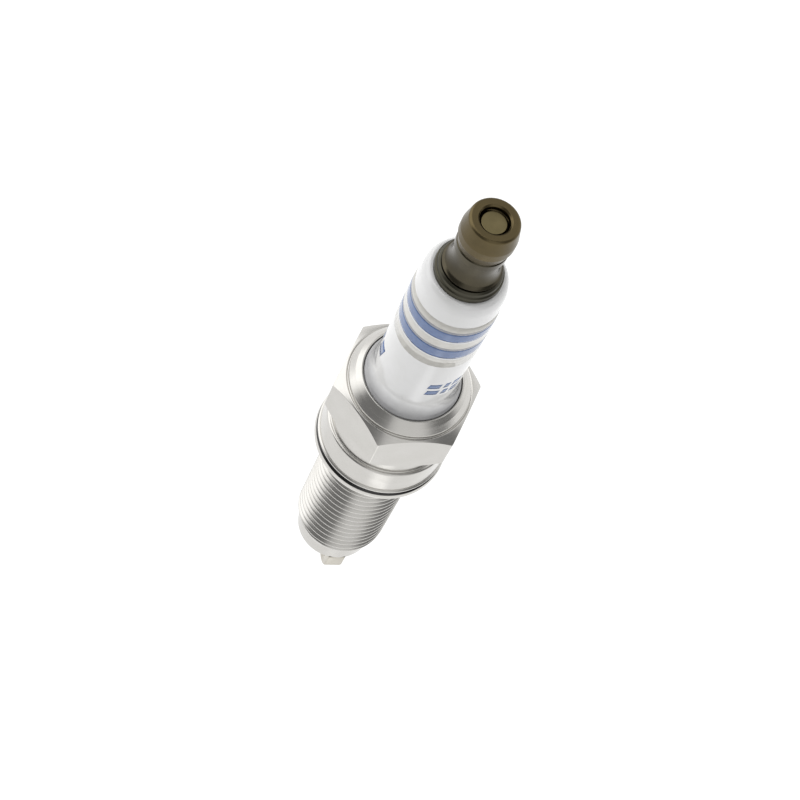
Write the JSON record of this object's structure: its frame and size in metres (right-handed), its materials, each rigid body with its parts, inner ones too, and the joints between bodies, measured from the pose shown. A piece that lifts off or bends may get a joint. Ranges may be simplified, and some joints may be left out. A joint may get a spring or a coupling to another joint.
{
  "type": "spark plug",
  "caption": "Long-reach resistor spark plug with a hexagonal shell, fine-wire firing tip, captive crush gasket and screw-on terminal nut.",
  "frame": {"origin": "on the plug's axis, in the plane of the crush gasket's sealing face", "axes": "+Z along the plug's axis towards the terminal, +X normal to a flat of the spanner hexagon"},
  "size_m": [0.0168, 0.0184, 0.0847],
  "materials": {
    "terminal_nut": "satin, dull bronze-coloured plating",
    "terminal_stud": "satin, dark oiled steel",
    "insulator": "glossy white glaze",
    "glass_seal": "matte copper-filled glass",
    "resistor": "matte",
    "nickel_alloy": "satin",
    "copper": "satin copper",
    "precious_metal": "bright",
    "shell": "bright satin nickel plating",
    "steel": "plain",
    "talc": "matte pressed powder",
    "gasket": "bright plated sheet steel"
  },
  "bodies": {
    "plug": {"terminal_stud": "terminal_stud", "insulator": "insulator", "upper_glass_seal": "glass_seal", "resistor": "resistor", "lower_glass_seal": "glass_seal", "centre_electrode": "nickel_alloy", "electrode_core": "copper", "tip_weld": "nickel_alloy", "firing_tip": "precious_metal", "shell": "shell", "upper_sealing_ring": "steel", "talc_packing": "talc", "lower_sealing_ring": "steel", "seat_washer": "steel", "ground_electrode": "nickel_alloy", "ground_pad": "precious_metal"},
    "nut": {"terminal_nut": "terminal_nut"},
    "gasket": {"crush_gasket": "gasket"}
  },
  "joints": [
    {"name": "nut_unscrew", "type": "slide", "parent": "plug", "child": "nut", "axis": [0, 0, 1], "range_m": [0, 0.0095]},
    {"name": "gasket_spin", "type": "hinge", "parent": "plug", "child": "gasket", "pos_m": [0, 0, 0.0008], "axis": [0, 0, 1], "continuous": true}
  ]
}
